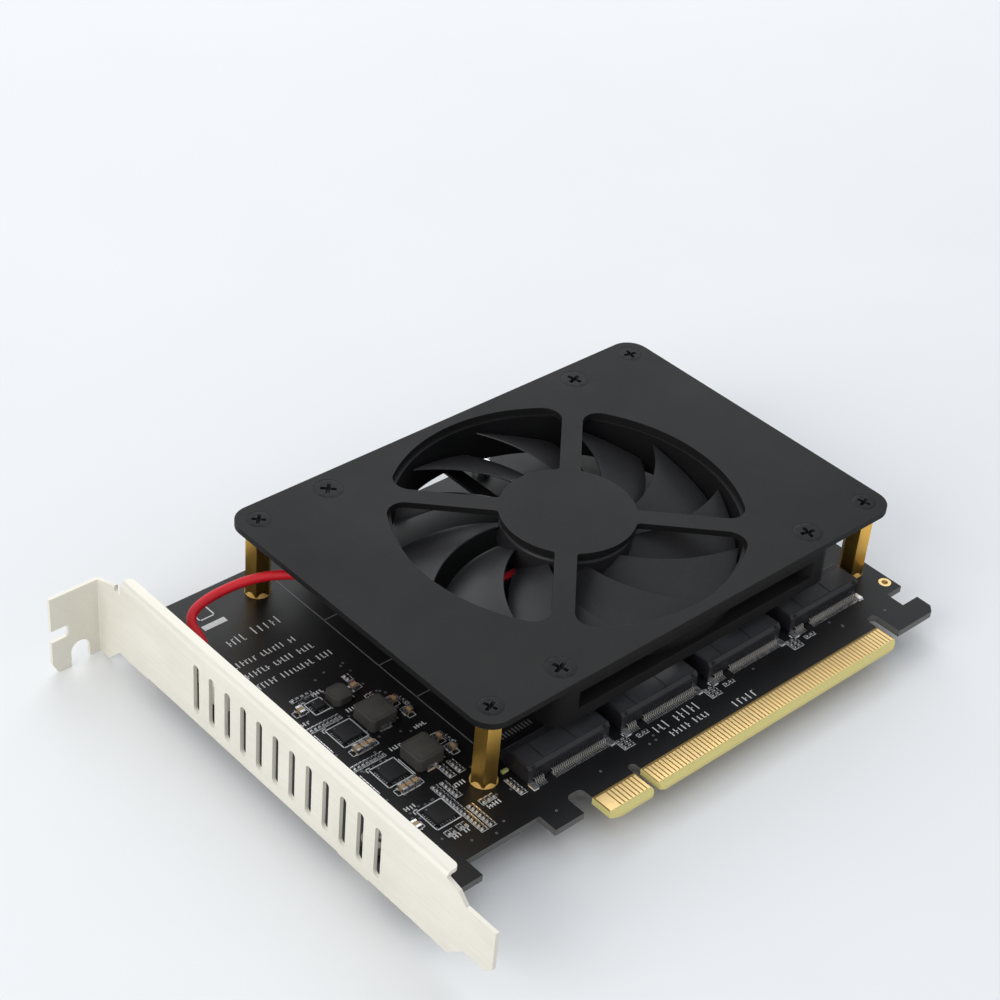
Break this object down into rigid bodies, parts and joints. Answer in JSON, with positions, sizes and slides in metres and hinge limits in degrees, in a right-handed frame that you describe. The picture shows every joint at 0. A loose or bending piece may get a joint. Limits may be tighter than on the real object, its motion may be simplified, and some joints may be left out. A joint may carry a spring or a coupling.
{
  "type": "drive adapter card with fan",
  "caption": "Full-height expansion card with an edge connector, slot bracket, M-keyed drive sockets and a black cover plate on brass pillars that carries a flat cooling fan.",
  "frame": {"origin": "middle of the edge connector's key notch, on the fingers' outer edge, at the component face", "axes": "+Z out of the component face, +X away from the bracket, +Y away from the edge connector"},
  "size_m": [0.1569, 0.1211, 0.0258],
  "materials": {
    "solder_mask": "black satin lacquer over glass-fibre laminate",
    "gold_plate": "thin gold plate, smooth",
    "bracket_plate": "satin nickel plate",
    "black_steel": "black, satin",
    "cover_paint": "black, matt",
    "pillar_brass": "turned, satin",
    "nut_tin": "tin plate, satin",
    "screw_steel": "bright plate",
    "fan_moulding": "fine grain",
    "rotor_moulding": "satin",
    "yoke_steel": "drawn steel",
    "magnet": "bonded ferrite",
    "shaft_steel": "ground",
    "bush_bronze": "sintered, oiled",
    "core_steel": "laminated",
    "coil_copper": "enamelled copper",
    "motor_laminate": "green lacquer over laminate",
    "socket_black": "moulded, fine grain",
    "tin": "tinned",
    "ferrite": "pressed powder",
    "chip_black": "moulded, matt",
    "ceramic_tan": "fired ceramic",
    "resistor_black": "glazed",
    "lamp_clear": "clear resin over phosphor",
    "header_white": "moulded nylon",
    "plug_white": "moulded nylon",
    "lead_red": "smooth sleeve"
  },
  "bodies": {
    "card": {"circuit_board": "solder_mask", "edge_contacts_component_side": "gold_plate", "edge_contacts_solder_side": "gold_plate", "bracket": "bracket_plate", "bracket_screws": "screw_steel", "cover_plate": "cover_paint", "cover_screws": "black_steel", "fan_screws": "black_steel", "pillar_screws": "screw_steel", "brass_pillars": "pillar_brass", "drive_nuts": "nut_tin", "fan_frame": "fan_moulding", "bearing_bush": "bush_bronze", "stator_core": "core_steel", "stator_coils": "coil_copper", "motor_board": "motor_laminate", "drive_socket_1": "socket_black", "drive_socket_2": "socket_black", "drive_socket_3": "socket_black", "drive_socket_4": "socket_black", "socket_contacts_1": "gold_plate", "socket_contacts_2": "gold_plate", "socket_contacts_3": "gold_plate", "socket_contacts_4": "gold_plate", "socket_hold_downs": "tin", "power_inductors": "ferrite", "inductor_terminals": "tin", "standby_inductor": "ferrite", "regulator_chips": "chip_black", "clock_chip": "chip_black", "standby_chip": "chip_black", "ceramic_capacitors": "ceramic_tan", "capacitor_ends": "tin", "chip_resistors": "resistor_black", "power_lamp": "lamp_clear", "plated_ring": "gold_plate", "fan_header": "header_white", "header_pins": "tin", "lead_plug": "plug_white", "fan_lead": "lead_red"},
    "rotor": {"impeller": "rotor_moulding", "rotor_yoke": "yoke_steel", "magnet_ring": "magnet", "rotor_shaft": "shaft_steel", "shaft_clip": "shaft_steel"}
  },
  "joints": [
    {"name": "fan_spin", "type": "hinge", "parent": "card", "child": "rotor", "pos_m": [0.02853, 0.05864, 0.0123], "axis": [0, 0, 1], "continuous": true}
  ]
}
